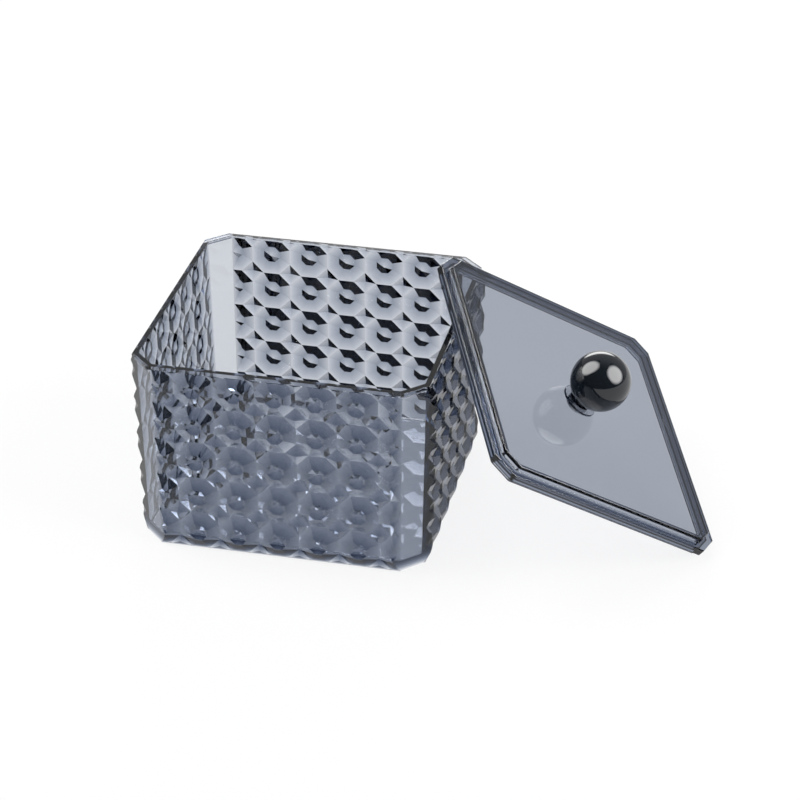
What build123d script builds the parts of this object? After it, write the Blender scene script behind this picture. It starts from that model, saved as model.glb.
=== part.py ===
from build123d import *
import os
from math import asin, atan2, ceil, cos, degrees, hypot, pi, radians, sin, sqrt, tan

# Cotton pad box: a square moulded box with gem-cut walls, and its lid, which has been
# taken off and leans against the box's right side. The origin is the centre of the box's
# base on the table, +Z is up and the front wall faces -Y. Sizes are in millimetres.

# ---- Box: driving sizes ------------------------------------------------------------------
rim_width = 100.0          # across the flats of the rim
box_height = 68.75         # base to rim
draft = 1.2                # degrees that every wall leans outwards
rim_wall = 1.8             # thickness of the rim
rim_height = 1.3           # plain band above the relief
rim_proud = 0.25           # the band stands this far outside the valleys of the relief
rim_corner_cut = 6.9       # leg of the rim's cut corners
body_corner_cut = 7.15     # leg of the walls' cut corners, at the top of the valleys
floor_thickness = 3.0
floor_round = 1.5          # radius where the floor meets the walls, inside

# ---- Relief of the four walls ------------------------------------------------------------
gem_rows = 5               # eight-sided gems from base to rim
gem_height = 1.9           # from the valleys to a gem's crown
crown_half_width = 2.65    # half of the flat-to-flat width of a gem's crown
dimple_depth = 1.5         # dimple sunk in each crown
dimple_floor_share = 0.45  # width of the dimple's floor, as a share of the crown
stud_height = 1.6          # four-sided studs between the gems
foot_bevel = 0.5           # outward run per unit of height of the bevel above the base
relief_backing = 0.5       # plain skin under the valleys, made with the relief
relief_root = 0.3          # depth that the relief is rooted in the wall behind it

# ---- Lid: driving sizes ------------------------------------------------------------------
lid_width = 99.0           # across the flats of the lid
lid_corner_cut = 6.4
lid_edge = 2.5             # height of the lid's outer edge
lid_panel_thickness = 1.8  # clear panel inside the plug ring
plug_clearance = 2.2       # gap between the plug ring and the box's mouth, each side
plug_ring_wall = 3.0
plug_drop = 6.2            # lid's top face to the bottom of the plug ring
plug_lead = 0.6            # bevel that leads the plug ring into the mouth
lid_edge_break = 0.35      # small bevel round the lid's top and bottom edges

# ---- Knob: driving sizes -----------------------------------------------------------------
ball_diameter = 20.6
ball_flats = 26            # narrow flats that the ball is turned in, from seat to top
collar_diameter = 13.0
collar_height = 3.95
collar_bevel = 0.6
screw_diameter = 4.0
screw_head_diameter = 8.0
screw_head_height = 2.4
screw_head_bevel = 0.7
screw_clearance = 0.2      # round the shank, in the panel and the collar
thread_clearance = 0.02    # round the shank, in the ball's threaded socket
screw_depth_in_ball = 9.0
socket_relief = 1.0        # free length beyond the screw's end
drive_width = 2.5          # across the flats of the screw's hexagon socket
drive_depth = 1.3
ball_flat = 5.0            # width of the flat by which the ball sits on its collar

# ---- How the lid leans -------------------------------------------------------------------
lid_spin = 30.2            # degrees that the lid is turned in its own plane, one corner lowest
rest_above_centre = 48.3   # from the lid's centre up its slope to the rim that carries it
lean_y = 1.5               # how far behind the box's centre the lid's centre lies
lean_gap = 0.25            # air between the plug ring and the rim it rests against
table_gap = 0.0            # air between the lid's sharp lowest corner and the table

# ---- Sizes that follow -------------------------------------------------------------------
lean_rate = tan(radians(draft))
pitch = box_height / gem_rows
valley_top = rim_width / 2 - rim_proud
valley_base = valley_top - box_height * lean_rate
gem_columns = 2 * ceil(valley_top / pitch - 0.5) - 1
mouth_half = rim_width / 2 - rim_wall
corner_growth = 2 - sqrt(2)
mouth_corner_cut = rim_corner_cut - rim_wall * corner_growth
relief_top = box_height - rim_height
plug_half = mouth_half - plug_clearance
plug_corner_cut = mouth_corner_cut - plug_clearance * corner_growth
screw_hole = screw_diameter + 2 * screw_clearance
ball_centre = collar_height + sqrt((ball_diameter / 2) ** 2 - (ball_flat / 2) ** 2)


def cut_square(half, cut, z):
    """Square outline with cut corners, at height z."""
    corner = half - cut
    points = [(-corner, -half), (corner, -half), (half, -corner), (half, corner),
              (corner, half), (-corner, half), (-half, corner), (-half, -corner)]
    return Pos(0, 0, z) * Polygon(*points, align=None)


def cut_prism(half_low, cut_low, z_low, half_high, cut_high, z_high):
    """Block between two cut squares."""
    low = cut_square(half_low, cut_low, z_low)
    high = cut_square(half_high, cut_high, z_high)
    return loft([low.face(), high.face()], ruled=True)


def drafted_block(half_top, cut_top, z_low, z_high):
    """Block whose sides lean outwards by the draft, given its outline at the rim's height."""
    drop_low = (box_height - z_low) * lean_rate
    drop_high = (box_height - z_high) * lean_rate
    return cut_prism(half_top - drop_low, cut_top - drop_low * corner_growth, z_low,
                     half_top - drop_high, cut_top - drop_high * corner_growth, z_high)


# ---- Relief: gems, studs and the panel they make --------------------------------------------
def wall_point(along, z, height):
    """Point of the front wall: along it, above the base, and outside the valleys."""
    return Vector(along, -(valley_base + z * lean_rate + height), z)


def facet(points):
    """Flat face through points given as (along, z, height)."""
    return Face(Wire.make_polygon([wall_point(*point) for point in points], close=True))


def gem_ring(along, z, half, height):
    """The eight corners of a gem's outline of half-width half, at one height."""
    corners = [(1, -0.5), (1, 0.5), (0.5, 1), (-0.5, 1), (-1, 0.5), (-1, -0.5), (-0.5, -1), (0.5, -1)]
    return [(along + half * a, z + half * b, height) for a, b in corners]


def band(outer, inner):
    """Facets between two rings of corners."""
    count = len(outer)
    return [facet([outer[i], outer[(i + 1) % count], inner[(i + 1) % count], inner[i]])
            for i in range(count)]


def gem(along, z):
    """Raised gem: sloping facets up to a crown, and a dimple sunk in the crown."""
    foot = gem_ring(along, z, pitch / 2, 0)
    crown = gem_ring(along, z, crown_half_width, gem_height)
    dimple = gem_ring(along, z, crown_half_width * dimple_floor_share, gem_height - dimple_depth)
    return band(foot, crown) + band(crown, dimple) + [facet(dimple)]


def stud(along, z):
    """Four-sided stud that fills the square between four gems."""
    reach = pitch / 4
    corners = [(along + reach, z, 0), (along, z + reach, 0), (along - reach, z, 0), (along, z - reach, 0)]
    tip = (along, z, stud_height)
    return [facet([corners[i], corners[(i + 1) % 4], tip]) for i in range(4)]


def panel_corner(along, z, half, low, high):
    """Flat fill where the grid's corner lies on the panel's edge, so that a whole stud won't fit."""
    reach = pitch / 4
    points = [(along + reach, z, 0), (along, z + reach, 0), (along - reach, z, 0), (along, z - reach, 0)]
    kept = [p for p in points if abs(p[0]) < half + reach / 2 and low - reach / 2 < p[1] < high + reach / 2]
    if len(kept) == 2:
        kept.append((along, z, 0))
    return facet(kept)


def panel_side(start, step, count):
    """Edge face of the panel: count pitches from start (along, z), each pitch one step long."""
    shares = [0] + [n + share for n in range(count) for share in (0.25, 0.75)] + [count]
    front = [(start[0] + step[0] * n, start[1] + step[1] * n, 0) for n in shares]
    depth = -(relief_backing + relief_root)
    back = [(front[-1][0], front[-1][1], depth), (front[0][0], front[0][1], depth)]
    return facet(front + back)


def relief_panel():
    """Front wall's relief on its backing, with a spare row of gems above and below."""
    rows = gem_rows + 2
    half = gem_columns * pitch / 2
    low, high = -pitch, (rows - 1) * pitch
    faces = []
    for column in range(gem_columns):
        for row in range(rows):
            faces += gem((column + 0.5) * pitch - half, low + (row + 0.5) * pitch)
    for column in range(gem_columns + 1):
        for row in range(rows + 1):
            along, z = column * pitch - half, low + row * pitch
            if 0 < column < gem_columns and 0 < row < rows:
                faces += stud(along, z)
            else:
                faces.append(panel_corner(along, z, half, low, high))
    faces.append(panel_side((-half, low), (pitch, 0), gem_columns))
    faces.append(panel_side((-half, high), (pitch, 0), gem_columns))
    faces.append(panel_side((-half, low), (0, pitch), rows))
    faces.append(panel_side((half, low), (0, pitch), rows))
    depth = -(relief_backing + relief_root)
    faces.append(facet([(-half, low, depth), (half, low, depth), (half, high, depth), (-half, high, depth)]))
    return Solid(Shell(faces))


def turned_square(apothem, z):
    """Square whose sides face the box's corners, at height z."""
    side = 2 * apothem
    return Pos(0, 0, z) * Rot(Z=45) * Rectangle(side, side)


def relief_space():
    """Space that the relief may fill: between the cut corners, over the foot bevel, under the rim."""
    corner_top = (2 * valley_top - body_corner_cut) / sqrt(2)
    corner_base = corner_top - box_height * lean_rate
    corners = loft([turned_square(corner_base, 0).face(), turned_square(corner_top, box_height).face()],
                   ruled=True)
    reach = box_height * (lean_rate + foot_bevel)
    low = Rectangle(2 * valley_base, 2 * valley_base)
    high = Pos(0, 0, box_height) * Rectangle(2 * (valley_base + reach), 2 * (valley_base + reach))
    bevel = loft([low.face(), high.face()], ruled=True)
    under_rim = Pos(0, 0, relief_top / 2) * Box(2 * rim_width, 2 * rim_width, relief_top)
    return corners & bevel & under_rim


# ---- Box body -------------------------------------------------------------------------------
def box_body():
    core = drafted_block(valley_top - relief_backing, body_corner_cut - 2 * relief_backing, 0, box_height)
    rim = cut_prism(rim_width / 2, rim_corner_cut, relief_top, rim_width / 2, rim_corner_cut, box_height)
    cavity = drafted_block(mouth_half, mouth_corner_cut, floor_thickness, box_height + rim_height)
    cavity = fillet(cavity.faces().sort_by(Axis.Z)[0].edges(), floor_round)
    panel = relief_panel() & relief_space()
    panels = [Rot(Z=90 * side) * panel for side in range(4)]
    return core.fuse(rim, *panels) - cavity


# ---- Lid and knob, built flat with the lid's top face at height 0 -----------------------------
def straight_block(half, cut, z_low, z_high):
    """Upright block with a cut-square outline."""
    return cut_prism(half, cut, z_low, half, cut, z_high)


def bore(diameter, z_low, z_high):
    """Cutter for an upright round hole on the knob's axis."""
    return Pos(0, 0, z_low) * Cylinder(diameter / 2, z_high - z_low, align=(Align.CENTER, Align.CENTER, Align.MIN))


def lid_panel():
    plate = straight_block(lid_width / 2, lid_corner_cut, -lid_edge, 0)
    plate = chamfer(plate.edges().filter_by(Plane.XY), lid_edge_break)
    ring = straight_block(plug_half, plug_corner_cut, -plug_drop, -lid_edge / 2)
    ring = chamfer(ring.faces().sort_by(Axis.Z)[0].edges(), plug_lead)
    ring_inner_cut = plug_corner_cut - plug_ring_wall * corner_growth
    recess = straight_block(plug_half - plug_ring_wall, ring_inner_cut, -plug_drop - 1, -lid_panel_thickness)
    return plate + ring - recess - bore(screw_hole, -lid_edge, lid_edge)


def knob_collar():
    collar = bore(collar_diameter, 0, collar_height)
    collar = chamfer(collar.edges().filter_by(GeomType.CIRCLE).sort_by(Axis.Z)[-1], collar_bevel)
    return collar - bore(screw_hole, -1, collar_height + 1)


def knob_ball():
    """Ball turned in narrow flats, with the flat that it sits on and its threaded socket."""
    radius = ball_diameter / 2
    seat_angle = asin(ball_flat / ball_diameter)
    angles = [seat_angle + (pi - seat_angle) * n / ball_flats for n in range(ball_flats + 1)]
    rim_points = [(radius * sin(angle), 0, ball_centre - radius * cos(angle)) for angle in angles[:-1]]
    profile = Polyline((0, 0, collar_height), *rim_points, (0, 0, ball_centre + radius), close=True)
    ball = revolve(make_face(profile), Axis.Z)
    socket = bore(screw_diameter + 2 * thread_clearance, collar_height - 1,
                  collar_height + screw_depth_in_ball + socket_relief)
    return ball - socket


def knob_screw():
    head_low = -lid_panel_thickness - screw_head_height
    head = bore(screw_head_diameter, head_low, -lid_panel_thickness)
    head = chamfer(head.edges().filter_by(GeomType.CIRCLE).sort_by(Axis.Z)[0], screw_head_bevel)
    shank = bore(screw_diameter, -lid_panel_thickness, collar_height + screw_depth_in_ball)
    drive = Pos(0, 0, head_low) * extrude(RegularPolygon(drive_width / 2, 6, major_radius=False), drive_depth)
    return head + shank - drive


# ---- Where the lid leans -----------------------------------------------------------------------
def lid_pose():
    """Rest the lid's plug ring on the box's right rim and its lowest corner on the table."""
    spin = Rot(Z=lid_spin)
    outline = spin * cut_square(lid_width / 2, lid_corner_cut, 0)
    corner_below_rest = max(vertex.X for vertex in outline.vertices()) + rest_above_centre
    ring_depth = plug_drop + lean_gap
    step = ring_depth - lid_edge
    rise = box_height - table_gap
    slope = asin(rise / hypot(corner_below_rest, step)) + atan2(step, corner_below_rest)
    centre_x = rim_width / 2 + rest_above_centre * cos(slope) + ring_depth * sin(slope)
    centre_z = box_height - rest_above_centre * sin(slope) + ring_depth * cos(slope)
    return Pos(centre_x, lean_y, centre_z) * Rot(Y=degrees(slope)) * spin


# ---- Export -----------------------------------------------------------------------------------
os.makedirs("parts", exist_ok=True)
pose = lid_pose()
pieces = {
    "box_body": box_body(),
    "lid_panel": pose * lid_panel(),
    "knob_collar": pose * knob_collar(),
    "knob_ball": pose * knob_ball(),
    "knob_screw": pose * knob_screw(),
}
for name, piece in pieces.items():
    export_step(piece, f"parts/{name}.step")
print("knob axis", Plane(pose).z_dir, "lid centre", Plane(pose).origin)
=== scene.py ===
from math import atan2, ceil, cos, pi, radians, sin, sqrt, tan

import bpy
from mathutils import Matrix, Vector


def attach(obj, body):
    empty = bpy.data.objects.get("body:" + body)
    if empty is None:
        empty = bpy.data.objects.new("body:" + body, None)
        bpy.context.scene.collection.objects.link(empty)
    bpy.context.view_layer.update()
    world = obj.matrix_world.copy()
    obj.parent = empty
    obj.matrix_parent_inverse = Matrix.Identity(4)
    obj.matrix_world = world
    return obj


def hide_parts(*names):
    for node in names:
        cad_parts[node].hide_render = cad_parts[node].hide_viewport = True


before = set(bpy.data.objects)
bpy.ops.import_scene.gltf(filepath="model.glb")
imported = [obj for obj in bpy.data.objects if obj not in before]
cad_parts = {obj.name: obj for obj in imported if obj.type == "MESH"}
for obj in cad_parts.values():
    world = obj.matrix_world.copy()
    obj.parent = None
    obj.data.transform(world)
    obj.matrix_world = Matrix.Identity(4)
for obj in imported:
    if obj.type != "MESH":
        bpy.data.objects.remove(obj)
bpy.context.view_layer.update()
scene = bpy.context.scene
bpy.ops.object.select_all(action="DESELECT")

# ---- Camera: where the photographer stood ------------------------------------------------------
# A long lens, a little to the right of the box's front wall and about 30 degrees above the table.
# Its place was fitted to the box's edges in the photograph.
camera_azimuth = radians(12.57)
camera_elevation = radians(29.71)
camera_distance = 0.9467
camera_aside = 0.0298        # the aim point, to the right of the box's centre
camera_above = 0.0291        # and above it, square to the line of sight
image_width = 800            # pixels of the photograph's frame
focal_pixels = 2701.4

ahead = Vector((-sin(camera_azimuth) * cos(camera_elevation),
                cos(camera_azimuth) * cos(camera_elevation),
                -sin(camera_elevation)))
rightward = Vector((cos(camera_azimuth), sin(camera_azimuth), 0))
upward = rightward.cross(ahead)
stand = -ahead * camera_distance + rightward * camera_aside + upward * camera_above

lens = bpy.data.cameras.new("photo_camera")
lens.sensor_width = 36
lens.lens = focal_pixels / image_width * lens.sensor_width
lens.clip_start = 0.01
lens.clip_end = 20
camera = bpy.data.objects.new("photo_camera", lens)
scene.collection.objects.link(camera)
turn = Matrix((rightward, upward, -ahead)).transposed().to_4x4()
camera.matrix_world = Matrix.Translation(stand) @ turn
scene.camera = camera

# ---- Box body ------------------------------------------------------------------------------------
# The open box: one injection moulding of polished clear plastic with a smoke tint. Its four walls
# are cut like gems. Each gem is a raised octagon with a hollow in its crown, and a stud fills the
# square between four gems.
rim_half = 0.0500
box_height = 0.06875
draft_rate = tan(radians(1.2))       # every wall leans outwards
rim_wall = 0.0018
rim_band = 0.0013                    # plain band above the gems
rim_corner = 0.0069                  # leg of the rim's cut corners
mouth_corner = 0.0066
valley_half = 0.04975                # walls between the gems, at the rim
wall_corner = 0.0080                 # leg of the walls' cut corners, at the rim
skin = 0.0005                        # plain backing under the gems
skin_root = 0.0003                   # and how deep it is rooted in the wall
box_floor = 0.003
floor_bend = 0.0015                  # radius inside, where floor and walls meet
bend_steps = 4                       # faces across that bend
gem_rows = 5
gem_rise = 0.0019
crown_half = 0.00285                 # half of a crown's width
hollow_depth = 0.0018
stud_rise = 0.0016
foot_step = 0.00005                  # the gems end this far above the table
foot_lean = 0.5                      # outward run of the bevel above the table, per unit of height
facet_edge_round = 0.00012
wall_ends_spare = 0.2                # the flat relief is trimmed this far past its last gems, in gems
wall_rows_spare = 0.4                # and this far past its top and bottom, before it is cut to the wall
corner_growth = 2 - sqrt(2)          # what a cut corner's leg gains when its outline grows by 1
gem_pitch = box_height / gem_rows
gem_columns = 2 * ceil(valley_half / gem_pitch - 0.5) - 1
stud_reach = gem_pitch / 2 * (1 - tan(pi / 8))
valley_foot = valley_half - box_height * draft_rate
clear_index = 1.5
smoke_colour = (0.44, 0.49, 0.58, 1.0)      # what the tint lets through
smoke_density = 600.0                       # strength of the tint, per metre
box_shadow_tint = (0.50, 0.53, 0.58, 1.0)   # what one surface of the box lets through to its shadow
box_smear_size = 45.0                       # smears per metre
box_smear = 0.012                           # and the roughness that they bring
merge_distance = 1e-6                       # points closer than this are one point
flat_angle = radians(0.4)                   # faces that turn less than this are one flat face
sharp_angle = radians(12)                   # edges that turn more than this get a bevel


def only(piece):
    """Select one piece alone and make it the active one."""
    if bpy.context.object and bpy.context.object.mode != "OBJECT":
        bpy.ops.object.mode_set(mode="OBJECT")
    bpy.ops.object.select_all(action="DESELECT")
    piece.select_set(True)
    bpy.context.view_layer.objects.active = piece


def cut_square_block(name, half_low, cut_low, z_low, half_high, cut_high, z_high):
    """Block between two squares with cut corners, shaped from an eight-sided cylinder."""
    bpy.ops.mesh.primitive_cylinder_add(vertices=8, radius=half_low, depth=z_high - z_low,
                                        rotation=(0, 0, pi / 8))
    block = bpy.context.object
    block.name = name
    bpy.ops.object.transform_apply(location=True, rotation=True, scale=True)
    for point in block.data.vertices:
        low = point.co.z < 0
        half, cut = (half_low, cut_low) if low else (half_high, cut_high)
        near = half - cut
        eighth = int((atan2(point.co.y, point.co.x) % (2 * pi)) // (pi / 4))
        x, y = [(half, near), (near, half), (-near, half), (-half, near),
                (-half, -near), (-near, -half), (near, -half), (half, -near)][eighth]
        point.co = (x, y, z_low if low else z_high)
    return block


def drafted_block(name, half, cut, z_low, z_high):
    """Block whose walls lean outwards by the draft, given its outline at the rim's height."""
    low = (box_height - z_low) * draft_rate
    high = (box_height - z_high) * draft_rate
    return cut_square_block(name, half - low, cut - low * corner_growth, z_low,
                            half - high, cut - high * corner_growth, z_high)


def work_with(piece, other, operation):
    """Join the other solid to the piece, or carve it out, and clear the other away."""
    step = piece.modifiers.new("step", "BOOLEAN")
    step.operation = operation
    step.solver = "EXACT"
    step.object = other
    only(piece)
    bpy.ops.object.modifier_apply(modifier=step.name)
    bpy.data.objects.remove(other)


def trim(piece, at, facing):
    """Cut the piece off beyond a plane and close the cut."""
    only(piece)
    bpy.ops.object.mode_set(mode="EDIT")
    bpy.ops.mesh.select_all(action="SELECT")
    bpy.ops.mesh.bisect(plane_co=at, plane_no=facing, use_fill=True, clear_outer=True,
                        threshold=merge_distance / 10)
    bpy.ops.object.mode_set(mode="OBJECT")


def clean_solid(piece):
    """Merge doubled points, make flat faces whole and turn all faces outwards."""
    only(piece)
    bpy.ops.object.mode_set(mode="EDIT")
    bpy.ops.mesh.select_all(action="SELECT")
    bpy.ops.mesh.remove_doubles(threshold=merge_distance)
    bpy.ops.mesh.dissolve_degenerate(threshold=merge_distance)
    bpy.ops.mesh.dissolve_limited(angle_limit=flat_angle)
    bpy.ops.mesh.normals_make_consistent(inside=False)
    bpy.ops.object.mode_set(mode="OBJECT")
    bpy.ops.object.shade_flat()


def break_edges(piece, width, rounds):
    """Polished edges: every sharp edge gets a narrow bevel."""
    edges = piece.modifiers.new("polished_edges", "BEVEL")
    edges.width = width
    edges.segments = rounds
    edges.limit_method = "ANGLE"
    edges.angle_limit = sharp_angle
    only(piece)
    bpy.ops.object.modifier_apply(modifier=edges.name)
    bpy.ops.object.shade_flat()


def gem_sheet():
    """The front wall's gems and studs as one open sheet: X along the wall, Y up it and Z outwards."""
    bpy.ops.mesh.primitive_circle_add(vertices=8, radius=gem_pitch / 2 / cos(pi / 8), fill_type="NGON",
                                      rotation=(0, 0, pi / 8))
    sheet = bpy.context.object
    sheet.name = "gem_wall"
    bpy.ops.object.transform_apply(location=True, rotation=True, scale=True)
    bpy.ops.object.mode_set(mode="EDIT")
    bpy.ops.mesh.select_all(action="SELECT")
    bpy.ops.mesh.inset(thickness=gem_pitch / 2 - crown_half, depth=gem_rise)
    bpy.ops.mesh.poke(offset=-hollow_depth)
    bpy.ops.mesh.primitive_circle_add(vertices=4, radius=stud_reach, fill_type="NGON",
                                      location=(gem_pitch / 2, gem_pitch / 2, 0))
    bpy.ops.mesh.poke(offset=stud_rise)
    bpy.ops.object.mode_set(mode="OBJECT")
    rows = gem_rows + 2
    for count, shift in ((gem_columns + 2, (gem_pitch, 0, 0)), (rows + 1, (0, gem_pitch, 0))):
        repeat = sheet.modifiers.new("repeat", "ARRAY")
        repeat.count = count
        repeat.use_relative_offset = False
        repeat.use_constant_offset = True
        repeat.constant_offset_displace = shift
        repeat.use_merge_vertices = True
        repeat.merge_threshold = 2 * merge_distance
        bpy.ops.object.modifier_apply(modifier=repeat.name)
    bpy.ops.object.mode_set(mode="EDIT")
    bpy.ops.mesh.select_all(action="SELECT")
    bpy.ops.mesh.remove_doubles(threshold=2 * merge_distance)
    bpy.ops.transform.translate(value=(-(gem_columns + 1) / 2 * gem_pitch, -gem_pitch / 2, 0))
    end = (gem_columns / 2 + wall_ends_spare) * gem_pitch
    spare = wall_rows_spare * gem_pitch
    for at, facing in (((end, 0, 0), (1, 0, 0)), ((-end, 0, 0), (-1, 0, 0)),
                       ((0, -spare, 0), (0, -1, 0)), ((0, box_height + spare, 0), (0, 1, 0))):
        bpy.ops.mesh.select_all(action="SELECT")
        bpy.ops.mesh.bisect(plane_co=at, plane_no=facing, clear_outer=True)
    bpy.ops.object.mode_set(mode="OBJECT")
    return sheet


def gem_wall():
    """The front wall's relief as a solid: the sheet on a flat back, leaned and cut to the wall."""
    wall = gem_sheet()
    bpy.ops.object.mode_set(mode="EDIT")
    bpy.ops.mesh.select_all(action="SELECT")
    bpy.ops.mesh.region_to_loop()
    bpy.ops.mesh.extrude_edges_move()
    bpy.ops.transform.resize(value=(1, 1, 0), center_override=(0, 0, 0))
    bpy.ops.transform.translate(value=(0, 0, -(skin + skin_root)))
    bpy.ops.mesh.edge_face_add()
    bpy.ops.object.mode_set(mode="OBJECT")
    slant = Matrix(((1, 0, 0, 0), (0, -draft_rate, -1, -valley_foot), (0, 1, 0, 0), (0, 0, 0, 1)))
    wall.data.transform(slant)
    corner = (2 * valley_half - wall_corner) / sqrt(2)
    for way in (1, -1):
        level = Vector((way, -1, 0)).normalized()
        facing = (level - Vector((0, 0, draft_rate))).normalized()
        trim(wall, level * corner + Vector((0, 0, box_height)), facing)
    trim(wall, (0, -valley_foot, 0), (0, -1, -(foot_lean + draft_rate)))
    trim(wall, (0, 0, box_height - rim_band), (0, 0, 1))
    trim(wall, (0, 0, foot_step), (0, 0, -1))
    clean_solid(wall)
    return wall


box_shell = drafted_block("box_shell", valley_half - skin, wall_corner - 2 * skin, 0, box_height)
front_wall = gem_wall()
for turns in range(4):
    relief = front_wall.copy()
    relief.data = front_wall.data.copy()
    scene.collection.objects.link(relief)
    relief.data.transform(Matrix.Rotation(turns * pi / 2, 4, "Z"))
    work_with(box_shell, relief, "UNION")
bpy.data.objects.remove(front_wall)
work_with(box_shell, cut_square_block("rim", rim_half, rim_corner, box_height - rim_band,
                                      rim_half, rim_corner, box_height), "UNION")
hollow = drafted_block("hollow", rim_half - rim_wall, mouth_corner, box_floor, box_height + rim_band)
only(hollow)
bpy.ops.object.mode_set(mode="EDIT")
bpy.ops.mesh.select_all(action="DESELECT")
bpy.ops.object.mode_set(mode="OBJECT")
for edge in hollow.data.edges:
    edge.select = all(hollow.data.vertices[end].co.z < 2 * box_floor for end in edge.vertices)
bpy.ops.object.mode_set(mode="EDIT")
bpy.ops.mesh.select_mode(type="EDGE")
bpy.ops.mesh.bevel(offset=floor_bend, segments=bend_steps, profile=0.5, affect="EDGES")
bpy.ops.object.mode_set(mode="OBJECT")
work_with(box_shell, hollow, "DIFFERENCE")
clean_solid(box_shell)
break_edges(box_shell, facet_edge_round, 1)


def new_group(name, inputs, outputs):
    """Empty shader node group with named float or vector sockets."""
    group = bpy.data.node_groups.new(name, "ShaderNodeTree")
    for socket, kind, value in inputs:
        made = group.interface.new_socket(name=socket, in_out="INPUT", socket_type=kind)
        if kind == "NodeSocketFloat":
            made.default_value = value
    for socket in outputs:
        group.interface.new_socket(name=socket, in_out="OUTPUT", socket_type="NodeSocketFloat")
    return group


def make_handling_marks():
    """Marks of use on a polished surface: faint smears and hairline scratches."""
    group = new_group("handling_marks",
                      [("Vector", "NodeSocketVector", None), ("Smear Size", "NodeSocketFloat", 60.0),
                       ("Polish", "NodeSocketFloat", 0.01), ("Smear", "NodeSocketFloat", 0.03),
                       ("Scratch", "NodeSocketFloat", 0.03)], ["Roughness", "Height"])
    nodes, links = group.nodes, group.links
    given = nodes.new("NodeGroupInput")
    out = nodes.new("NodeGroupOutput")

    def noise_mask(vector, detail, low, high):
        """Noise, spread so that it rises from 0 at low to 1 at high."""
        noise = nodes.new("ShaderNodeTexNoise")
        noise.inputs["Detail"].default_value = detail
        links.new(vector, noise.inputs["Vector"])
        mask = nodes.new("ShaderNodeMapRange")
        mask.inputs["From Min"].default_value = low
        mask.inputs["From Max"].default_value = high
        links.new(noise.outputs[0], mask.inputs["Value"])
        return noise, mask.outputs[0]

    def combine(operation, first, second):
        """One sum or product of two values."""
        step = nodes.new("ShaderNodeMath")
        step.operation = operation
        links.new(first, step.inputs[0])
        links.new(second, step.inputs[1])
        return step.outputs[0]

    smear, smear_mask = noise_mask(given.outputs["Vector"], 5, 0.48, 0.75)
    smear.inputs["Roughness"].default_value = 0.6
    links.new(given.outputs["Smear Size"], smear.inputs["Scale"])
    stretch = nodes.new("ShaderNodeMapping")
    stretch.inputs["Rotation"].default_value = (0.4, 0.7, 0.5)
    stretch.inputs["Scale"].default_value = (1.0, 14.0, 14.0)
    links.new(given.outputs["Vector"], stretch.inputs["Vector"])
    hairline, hairline_mask = noise_mask(stretch.outputs[0], 2, 0.70, 0.78)
    hairline.inputs["Scale"].default_value = 160.0
    smeared = combine("MULTIPLY", smear_mask, given.outputs["Smear"])
    scratched = combine("MULTIPLY", hairline_mask, given.outputs["Scratch"])
    marked = combine("ADD", smeared, scratched)
    links.new(combine("ADD", marked, given.outputs["Polish"]), out.inputs["Roughness"])
    links.new(hairline_mask, out.inputs["Height"])
    return group


handling_marks = make_handling_marks()


def mark_surface(material, shader, smear_size, polish, smear, scratch, depth):
    """Give a material's shader the marks of use, on the piece's own coordinates."""
    nodes, links = material.node_tree.nodes, material.node_tree.links
    place = nodes.new("ShaderNodeTexCoord")
    marks = nodes.new("ShaderNodeGroup")
    marks.node_tree = handling_marks
    marks.inputs["Smear Size"].default_value = smear_size
    marks.inputs["Polish"].default_value = polish
    marks.inputs["Smear"].default_value = smear
    marks.inputs["Scratch"].default_value = scratch
    relief = nodes.new("ShaderNodeBump")
    relief.inputs["Strength"].default_value = 0.05
    relief.inputs["Distance"].default_value = depth
    relief.invert = True
    links.new(place.outputs["Object"], marks.inputs["Vector"])
    links.new(marks.outputs["Roughness"], shader.inputs["Roughness"])
    links.new(marks.outputs["Height"], relief.inputs["Height"])
    links.new(relief.outputs[0], shader.inputs["Normal"])


def make_clear_plastic(name, colour, density, shadow_tint, smear_size, smear):
    """Polished plastic whose tint deepens with the thickness that light passes."""
    plastic = bpy.data.materials.new(name)
    plastic.use_nodes = True
    nodes = plastic.node_tree.nodes
    links = plastic.node_tree.links
    body = nodes["Principled BSDF"]
    body.inputs["Base Color"].default_value = (1, 1, 1, 1)
    body.inputs["IOR"].default_value = clear_index
    body.inputs["Transmission Weight"].default_value = 1.0
    mark_surface(plastic, body, smear_size=smear_size, polish=0.0, smear=smear, scratch=0.03, depth=0.00002)
    passing = nodes.new("ShaderNodeBsdfTransparent")
    passing.inputs["Color"].default_value = shadow_tint
    path = nodes.new("ShaderNodeLightPath")
    mix = nodes.new("ShaderNodeMixShader")
    links.new(path.outputs["Is Shadow Ray"], mix.inputs[0])
    links.new(body.outputs[0], mix.inputs[1])
    links.new(passing.outputs[0], mix.inputs[2])
    output = nodes["Material Output"]
    links.new(mix.outputs[0], output.inputs["Surface"])
    tint = nodes.new("ShaderNodeVolumeAbsorption")
    tint.inputs["Color"].default_value = colour
    tint.inputs["Density"].default_value = density
    links.new(tint.outputs[0], output.inputs["Volume"])
    return plastic


def put_material(piece, material):
    """Give a piece one material on every slot."""
    piece.data.materials.clear()
    piece.data.materials.append(material)


box_plastic = make_clear_plastic("smoke_plastic_box", smoke_colour, smoke_density, box_shadow_tint,
                                 box_smear_size, box_smear)
put_material(box_shell, box_plastic)
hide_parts("box_body")
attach(box_shell, "box")

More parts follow.
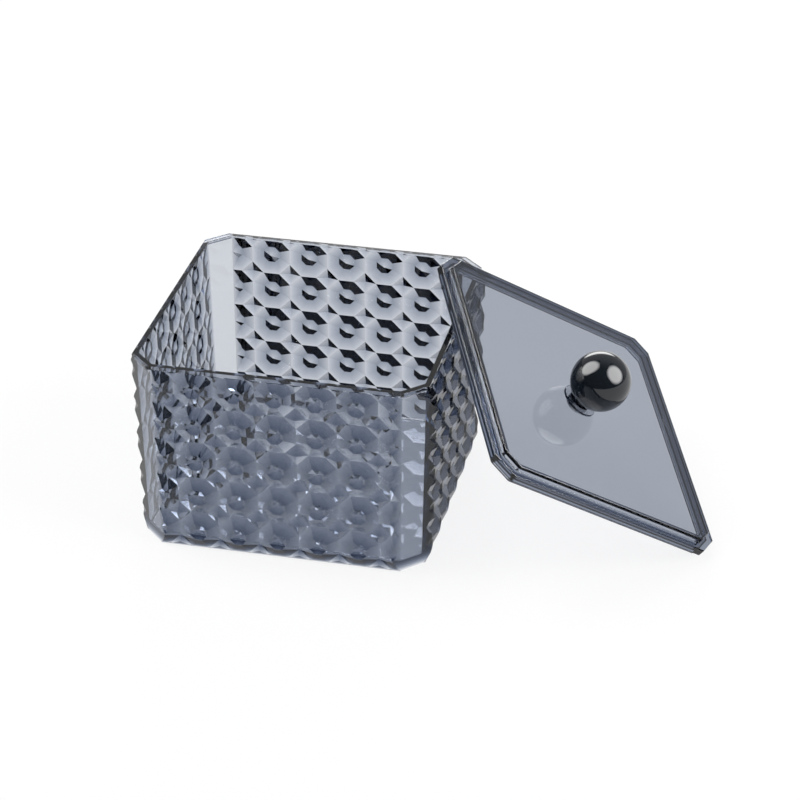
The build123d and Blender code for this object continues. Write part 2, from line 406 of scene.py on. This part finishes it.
# ---- Lid -------------------------------------------------------------------------------------------
# The lid, of the same smoke-tinted plastic: one thin-walled moulding with a raised top, a flange
# that lies on the rim and a lip that drops into the mouth. Here it leans on the box's right side.
lid_slope = radians(39.543)
lid_turn = radians(30.2)
lid_centre = Vector((0.0913513, 0.0015, 0.0429708))
lid_top = 0.00225                    # raised top, above the lid's own origin
flange_half = 0.0495
flange_corner = 0.0069
flange_top = 0.0001
flange_foot = -0.0026
top_half = 0.0464
top_wall = 0.0019
lip_half = 0.0476
lip_wall = 0.0016
lip_foot = -0.0044
lid_edge_round = 0.0003
screw_hole_radius = 0.0022
drill_reach = 0.02                   # longer than any piece that the screw passes
lid_density = 1.2 * smoke_density
lid_shadow_tint = (0.50, 0.53, 0.59, 1.0)
lid_smear_size = 25.0
lid_smear = 0.015
lid_place = (Matrix.Translation(lid_centre) @ Matrix.Rotation(lid_slope, 4, "Y")
             @ Matrix.Rotation(lid_turn, 4, "Z"))


def upright_block(name, half, z_low, z_high):
    """Upright block that keeps the lid's corner form, whatever its width."""
    cut = flange_corner - (flange_half - half) * corner_growth
    return cut_square_block(name, half, cut, z_low, half, cut, z_high)


def drill(piece, radius, top, depth):
    """Drill an upright round hole on the knob's axis, down from a height."""
    bpy.ops.mesh.primitive_cylinder_add(vertices=48, radius=radius, depth=depth,
                                        location=(0, 0, top - depth / 2))
    work_with(piece, bpy.context.object, "DIFFERENCE")


lid_plate = upright_block("lid_plate", top_half, flange_foot, lid_top)
for name, half, low, high, operation in (
        ("flange", flange_half, flange_foot, flange_top, "UNION"),
        ("lip", lip_half, lip_foot, (flange_foot + flange_top) / 2, "UNION"),
        ("space", top_half - top_wall, 2 * lip_foot, lid_top - top_wall, "DIFFERENCE"),
        ("lip_space", lip_half - lip_wall, 2 * lip_foot, flange_foot, "DIFFERENCE")):
    work_with(lid_plate, upright_block(name, half, low, high), operation)
drill(lid_plate, screw_hole_radius, drill_reach / 2, drill_reach)
clean_solid(lid_plate)
break_edges(lid_plate, lid_edge_round, 2)
lid_plate.data.transform(lid_place)
lid_plastic = make_clear_plastic("smoke_plastic_lid", smoke_colour, lid_density, lid_shadow_tint,
                                 lid_smear_size, lid_smear)
put_material(lid_plate, lid_plastic)
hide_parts("lid_panel")
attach(lid_plate, "lid")

# ---- Ball knob ---------------------------------------------------------------------------------------
# The knob by which the lid is lifted: a near-black moulded ball, polished, that sits on the raised
# top by a small flat. The screw goes into a blind hole in that flat.
ball_radius = 0.0103
ball_above_top = 0.00965             # the ball's centre, above the raised top
screw_radius = 0.002
thread_gap = 0.00002
screw_depth = 0.009                  # into the ball
screw_relief = 0.0005                # free length beyond the screw's end
ball_colour = (0.007, 0.010, 0.014, 1)

bpy.ops.mesh.primitive_uv_sphere_add(segments=96, ring_count=48, radius=ball_radius)
ball_bead = bpy.context.object
ball_bead.name = "ball_bead"
trim(ball_bead, (0, 0, -ball_above_top), (0, 0, -1))
drill(ball_bead, screw_radius + thread_gap, screw_depth + screw_relief - ball_above_top, drill_reach)
only(ball_bead)
bpy.ops.object.shade_smooth_by_angle(angle=radians(30))
ball_bead.data.transform(lid_place @ Matrix.Translation((0, 0, lid_top + ball_above_top)))
ball_black = bpy.data.materials.new("knob_black")
ball_black.use_nodes = True
ball_shader = ball_black.node_tree.nodes["Principled BSDF"]
ball_shader.inputs["Base Color"].default_value = ball_colour
ball_shader.inputs["IOR"].default_value = 1.55
mark_surface(ball_black, ball_shader, smear_size=140.0, polish=0.02, smear=0.05, scratch=0.12, depth=0.00001)
put_material(ball_bead, ball_black)
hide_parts("knob_ball")
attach(ball_bead, "lid")

# ---- Knob collar -------------------------------------------------------------------------------------
# A thin clear ring under the raised top, moulded of a paler plastic than the lid. It spreads the
# pull of the screw's head on the thin panel.
collar_radius = 0.00655
collar_thickness = 0.0008
collar_edge_round = 0.0002
collar_gap = 0.00002                 # air between it and the panel
collar_colour = (0.60, 0.62, 0.68, 1.0)
collar_density = 300.0
collar_shadow_tint = (0.80, 0.81, 0.84, 1.0)
collar_middle = lid_top - top_wall - collar_thickness / 2 - collar_gap

bpy.ops.mesh.primitive_cylinder_add(vertices=96, radius=collar_radius, depth=collar_thickness,
                                    location=(0, 0, collar_middle))
collar_ring = bpy.context.object
collar_ring.name = "collar_ring"
bpy.ops.object.transform_apply(location=True, rotation=True, scale=True)
drill(collar_ring, screw_hole_radius, drill_reach / 2, drill_reach)
break_edges(collar_ring, collar_edge_round, 1)
bpy.ops.object.shade_smooth_by_angle(angle=radians(20))
collar_ring.data.transform(lid_place)
collar_plastic = make_clear_plastic("collar_plastic", collar_colour, collar_density, collar_shadow_tint,
                                    smear_size=200.0, smear=0.06)
put_material(collar_ring, collar_plastic)
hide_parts("knob_collar")
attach(collar_ring, "lid")

# ---- Knob screw --------------------------------------------------------------------------------------
# A satin steel screw with a socket head, turned and rolled, that holds ball and collar from below.
# It has the frame's form, moved up to the underside of the collar.
screw_rise = 0.00143                 # the screw's seat, above where the frame has it
steel_dark = (0.40, 0.41, 0.43, 1)
steel_light = (0.58, 0.59, 0.61, 1)


def copy_of_cad(node, name):
    """A shown copy of a CAD node: its loose triangles joined, and flat faces made whole again."""
    piece = bpy.data.objects.new(name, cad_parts[node].data.copy())
    scene.collection.objects.link(piece)
    only(piece)
    bpy.ops.object.mode_set(mode="EDIT")
    bpy.ops.mesh.select_all(action="SELECT")
    bpy.ops.mesh.remove_doubles(threshold=merge_distance)
    bpy.ops.mesh.customdata_custom_splitnormals_clear()
    bpy.ops.mesh.dissolve_limited(angle_limit=flat_angle)
    bpy.ops.object.mode_set(mode="OBJECT")
    bpy.ops.object.shade_smooth_by_angle(angle=radians(30))
    return piece


fixing_screw = copy_of_cad("knob_screw", "fixing_screw")
lid_normal = lid_place.to_3x3() @ Vector((0, 0, 1))
fixing_screw.data.transform(Matrix.Translation(lid_normal * screw_rise))
screw_steel = bpy.data.materials.new("screw_steel")
screw_steel.use_nodes = True
screw_nodes = screw_steel.node_tree.nodes
screw_links = screw_steel.node_tree.links
screw_shader = screw_nodes["Principled BSDF"]
screw_shader.inputs["Metallic"].default_value = 1.0
mark_surface(screw_steel, screw_shader, smear_size=700.0, polish=0.26, smear=0.2, scratch=0.2, depth=0.00002)
tone_place = screw_nodes.new("ShaderNodeTexCoord")
tone_noise = screw_nodes.new("ShaderNodeTexNoise")
tone_noise.inputs["Scale"].default_value = 900.0
tone_noise.inputs["Detail"].default_value = 4
tone = screw_nodes.new("ShaderNodeValToRGB")
tone.color_ramp.elements[0].color = steel_dark
tone.color_ramp.elements[1].color = steel_light
screw_links.new(tone_place.outputs["Object"], tone_noise.inputs["Vector"])
screw_links.new(tone_noise.outputs[0], tone.inputs[0])
screw_links.new(tone.outputs[0], screw_shader.inputs["Base Color"])
put_material(fixing_screw, screw_steel)
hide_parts("knob_screw")
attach(fixing_screw, "lid")

# ---- Studio floor ------------------------------------------------------------------------------------
# A white sweep of matt board under the object. The camera and reflections see it as plain white
# with the object's shadow on it, and through the clear plastic it shows as it is lit.
floor_white = 0.85
plain_share = 0.85                   # share of plain white that the camera and reflections see
through_share = 0.10                 # and that shows through the clear plastic

bpy.ops.mesh.primitive_plane_add(size=8, location=(0, 0, 0))
floor = bpy.context.object
floor.name = "studio_floor"
floor_paint = bpy.data.materials.new("floor_white")
floor_paint.use_nodes = True
floor_nodes = floor_paint.node_tree.nodes
floor_links = floor_paint.node_tree.links
floor_shader = floor_nodes["Principled BSDF"]
floor_shader.inputs["Base Color"].default_value = (floor_white, floor_white, floor_white, 1)
floor_shader.inputs["Roughness"].default_value = 0.9
floor_glow = floor_nodes.new("ShaderNodeEmission")
floor_glow.inputs["Color"].default_value = (1, 1, 1, 1)
floor_glow.inputs["Strength"].default_value = 1.0
floor_path = floor_nodes.new("ShaderNodeLightPath")


def floor_math(operation, first, second):
    """One product or maximum in the floor's material. The second value may be a plain number."""
    step = floor_nodes.new("ShaderNodeMath")
    step.operation = operation
    floor_links.new(first, step.inputs[0])
    if isinstance(second, float):
        step.inputs[1].default_value = second
    else:
        floor_links.new(second, step.inputs[1])
    return step.outputs[0]


seen_plain = floor_math("MAXIMUM", floor_path.outputs["Is Camera Ray"], floor_path.outputs["Is Glossy Ray"])
floor_share = floor_math("MAXIMUM", floor_math("MULTIPLY", seen_plain, plain_share),
                         floor_math("MULTIPLY", floor_path.outputs["Is Transmission Ray"], through_share))
floor_mix = floor_nodes.new("ShaderNodeMixShader")
floor_links.new(floor_share, floor_mix.inputs[0])
floor_links.new(floor_shader.outputs[0], floor_mix.inputs[1])
floor_links.new(floor_glow.outputs[0], floor_mix.inputs[2])
floor_links.new(floor_mix.outputs[0], floor_nodes["Material Output"].inputs["Surface"])
floor.data.materials.append(floor_paint)

# ---- Studio room -------------------------------------------------------------------------------------
# The room round the table: dark on the photographer's side, and pale behind the object, where the
# sweep rises. Matt surfaces get an even fill instead.
room_dark = 0.06
room_pale = 0.48
room_fill = 0.38
room_turns = (-0.25, 0.65)           # from dark to pale, by how far a direction points backwards

world = bpy.data.worlds.new("studio")
scene.world = world
world.use_nodes = True
world_nodes = world.node_tree.nodes
world_links = world.node_tree.links
world_room = world_nodes["Background"]
world_room.inputs["Color"].default_value = (0.97, 0.98, 1.0, 1)
world_path = world_nodes.new("ShaderNodeLightPath")
world_way = world_nodes.new("ShaderNodeTexCoord")
world_split = world_nodes.new("ShaderNodeSeparateXYZ")
world_fall = world_nodes.new("ShaderNodeMapRange")
world_fall.interpolation_type = "SMOOTHSTEP"
world_fall.inputs["From Min"].default_value = room_turns[0]
world_fall.inputs["From Max"].default_value = room_turns[1]
world_fall.inputs["To Min"].default_value = room_dark
world_fall.inputs["To Max"].default_value = room_pale
world_pick = world_nodes.new("ShaderNodeMix")
world_pick.inputs["B"].default_value = room_fill
world_links.new(world_way.outputs["Generated"], world_split.inputs[0])
world_links.new(world_split.outputs["Y"], world_fall.inputs["Value"])
world_links.new(world_path.outputs["Is Diffuse Ray"], world_pick.inputs["Factor"])
world_links.new(world_fall.outputs[0], world_pick.inputs["A"])
world_links.new(world_pick.outputs[0], world_room.inputs["Strength"])

# ---- Lamps -------------------------------------------------------------------------------------------
# Three softboxes, to the left, to the right and behind. Each has a brighter card in its place that
# only reflections see, because the cloth of a softbox shines brightly in polished plastic.
lit_spot = (0.03, 0, 0.03)           # what all three face
card_growth = 1.8                    # how much larger a card is than its lamp, as its edge is soft
card_edge = 0.45                     # share of the fall-off over which a card brightens
card_spread = (1.7, 1.7, 1.7)        # keeps the fall-off inside the card's edges


def softbox(name, place, width, height, watts):
    """Soft rectangular lamp that faces the object."""
    lamp = bpy.data.lights.new(name, "AREA")
    lamp.shape = "RECTANGLE"
    lamp.size = width
    lamp.size_y = height
    lamp.energy = watts
    holder = bpy.data.objects.new(name, lamp)
    scene.collection.objects.link(holder)
    facing = (Vector(lit_spot) - Vector(place)).to_track_quat("-Z", "Y")
    holder.matrix_world = Matrix.Translation(place) @ facing.to_matrix().to_4x4()
    holder.visible_glossy = False


def shine_card(name, place, width, height, strength):
    """Soft-edged bright card that faces the object and that only reflections see."""
    bpy.ops.mesh.primitive_plane_add(size=1)
    card = bpy.context.object
    card.name = name
    facing = (Vector(lit_spot) - Vector(place)).to_track_quat("Z", "Y")
    card.matrix_world = (Matrix.Translation(place) @ facing.to_matrix().to_4x4()
                         @ Matrix.Diagonal((width, height, 1, 1)))
    cloth = bpy.data.materials.new(name)
    cloth.use_nodes = True
    nodes, links = cloth.node_tree.nodes, cloth.node_tree.links
    nodes.remove(nodes["Principled BSDF"])
    place_on = nodes.new("ShaderNodeTexCoord")
    spread = nodes.new("ShaderNodeMapping")
    spread.inputs["Scale"].default_value = card_spread
    glow_fall = nodes.new("ShaderNodeTexGradient")
    glow_fall.gradient_type = "SPHERICAL"
    soften = nodes.new("ShaderNodeMapRange")
    soften.interpolation_type = "SMOOTHSTEP"
    soften.inputs["From Max"].default_value = card_edge
    soften.inputs["To Max"].default_value = strength
    glow = nodes.new("ShaderNodeEmission")
    links.new(place_on.outputs["Object"], spread.inputs[0])
    links.new(spread.outputs[0], glow_fall.inputs[0])
    links.new(glow_fall.outputs["Fac"], soften.inputs["Value"])
    links.new(soften.outputs[0], glow.inputs["Strength"])
    links.new(glow.outputs[0], nodes["Material Output"].inputs["Surface"])
    card.data.materials.append(cloth)
    card.visible_camera = False
    card.visible_diffuse = False
    card.visible_transmission = False
    card.visible_shadow = False
    card.visible_volume_scatter = False


for side, place, width, height, watts, shine in (
        ("left", (-0.60, -0.05, 0.95), 0.6, 0.8, 7, 8.0),
        ("right", (1.00, -0.10, 0.70), 0.75, 0.75, 9, 9.0),
        ("back", (-0.15, 1.15, 0.36), 0.6, 0.28, 5, 5.0)):
    softbox("softbox_" + side, place, width, height, watts)
    shine_card("shine_" + side, place, card_growth * width, card_growth * height, shine)

# ---- Render and finish -------------------------------------------------------------------------------
# Enough bounces for light to pass both walls of the box and the lid.
scene.view_settings.view_transform = "Standard"
scene.cycles.max_bounces = 24
scene.cycles.transmission_bounces = 24
scene.cycles.glossy_bounces = 12
scene.cycles.transparent_max_bounces = 24
